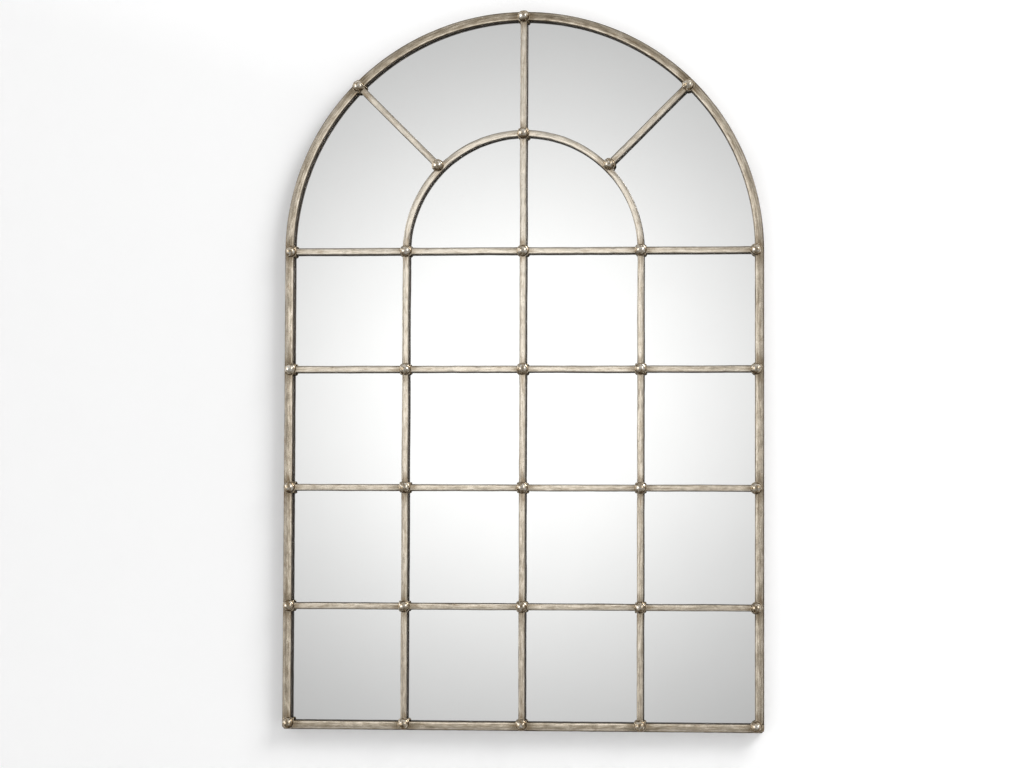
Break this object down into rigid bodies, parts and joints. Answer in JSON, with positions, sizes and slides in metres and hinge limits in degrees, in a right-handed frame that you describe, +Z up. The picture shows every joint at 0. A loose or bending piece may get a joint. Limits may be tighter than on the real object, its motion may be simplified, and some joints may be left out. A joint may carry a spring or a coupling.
{
  "type": "arched window mirror",
  "caption": "Wall mirror shaped as an arched window: forged metal frame and glazing bars with a round ball on every crossing, over one sheet of mirror glass.",
  "frame": {"origin": "centre of the arch on the plane of the wall, midway between the two hanging rings and level with the wall hooks they hang on", "axes": "+X to the right as seen from the room, +Y towards the wall, +Z up"},
  "size_m": [0.75, 0.0401, 1.124],
  "materials": {
    "frame_metal": "hand-forged steel with an antiqued silver and champagne paint, brown wash in the hollows, worn light edges",
    "ball_metal": "the same finish, smoother and glossier, darker brown underneath",
    "mirror_glass": "clear float glass silvered on the back",
    "board": "brown hardboard, smooth",
    "zinc_hardware": "bright zinc plate",
    "rubber": "matt black"
  },
  "bodies": {
    "mirror": {"frame_arch": "frame_metal", "frame_stile_left": "frame_metal", "frame_stile_right": "frame_metal", "frame_bottom_rail": "frame_metal", "upright_bar_left": "frame_metal", "upright_bar_middle": "frame_metal", "upright_bar_right": "frame_metal", "cross_bar_1": "frame_metal", "cross_bar_2": "frame_metal", "cross_bar_3": "frame_metal", "cross_bar_4": "frame_metal", "inner_arch": "frame_metal", "spoke_left": "frame_metal", "spoke_right": "frame_metal", "ball_row1_column1": "ball_metal", "ball_row1_column2": "ball_metal", "ball_row1_column3": "ball_metal", "ball_row1_column4": "ball_metal", "ball_row1_column5": "ball_metal", "ball_row2_column1": "ball_metal", "ball_row2_column2": "ball_metal", "ball_row2_column3": "ball_metal", "ball_row2_column4": "ball_metal", "ball_row2_column5": "ball_metal", "ball_row3_column1": "ball_metal", "ball_row3_column2": "ball_metal", "ball_row3_column3": "ball_metal", "ball_row3_column4": "ball_metal", "ball_row3_column5": "ball_metal", "ball_row4_column1": "ball_metal", "ball_row4_column2": "ball_metal", "ball_row4_column3": "ball_metal", "ball_row4_column4": "ball_metal", "ball_row4_column5": "ball_metal", "ball_row5_column1": "ball_metal", "ball_row5_column2": "ball_metal", "ball_row5_column3": "ball_metal", "ball_row5_column4": "ball_metal", "ball_row5_column5": "ball_metal", "ball_crown": "ball_metal", "ball_arch_left": "ball_metal", "ball_arch_right": "ball_metal", "ball_inner_crown": "ball_metal", "ball_inner_left": "ball_metal", "ball_inner_right": "ball_metal", "mirror_glass": "mirror_glass", "backing_board": "board", "hanging_strap_left": "zinc_hardware", "hanging_strap_right": "zinc_hardware", "strap_screw_left_1": "zinc_hardware", "strap_screw_left_2": "zinc_hardware", "strap_screw_right_1": "zinc_hardware", "strap_screw_right_2": "zinc_hardware", "wall_bumper_left": "rubber", "wall_bumper_right": "rubber"},
    "ring_left": {"hanging_ring_left": "zinc_hardware"},
    "ring_right": {"hanging_ring_right": "zinc_hardware"}
  },
  "joints": [
    {"name": "ring_left_swing", "type": "hinge", "parent": "mirror", "child": "ring_left", "pos_m": [-0.318, -0.0056, -0.0106], "axis": [1, 0, 0], "range_deg": [0, 180]},
    {"name": "ring_right_swing", "type": "hinge", "parent": "mirror", "child": "ring_right", "pos_m": [0.318, -0.0056, -0.0106], "axis": [1, 0, 0], "range_deg": [0, 180]}
  ]
}
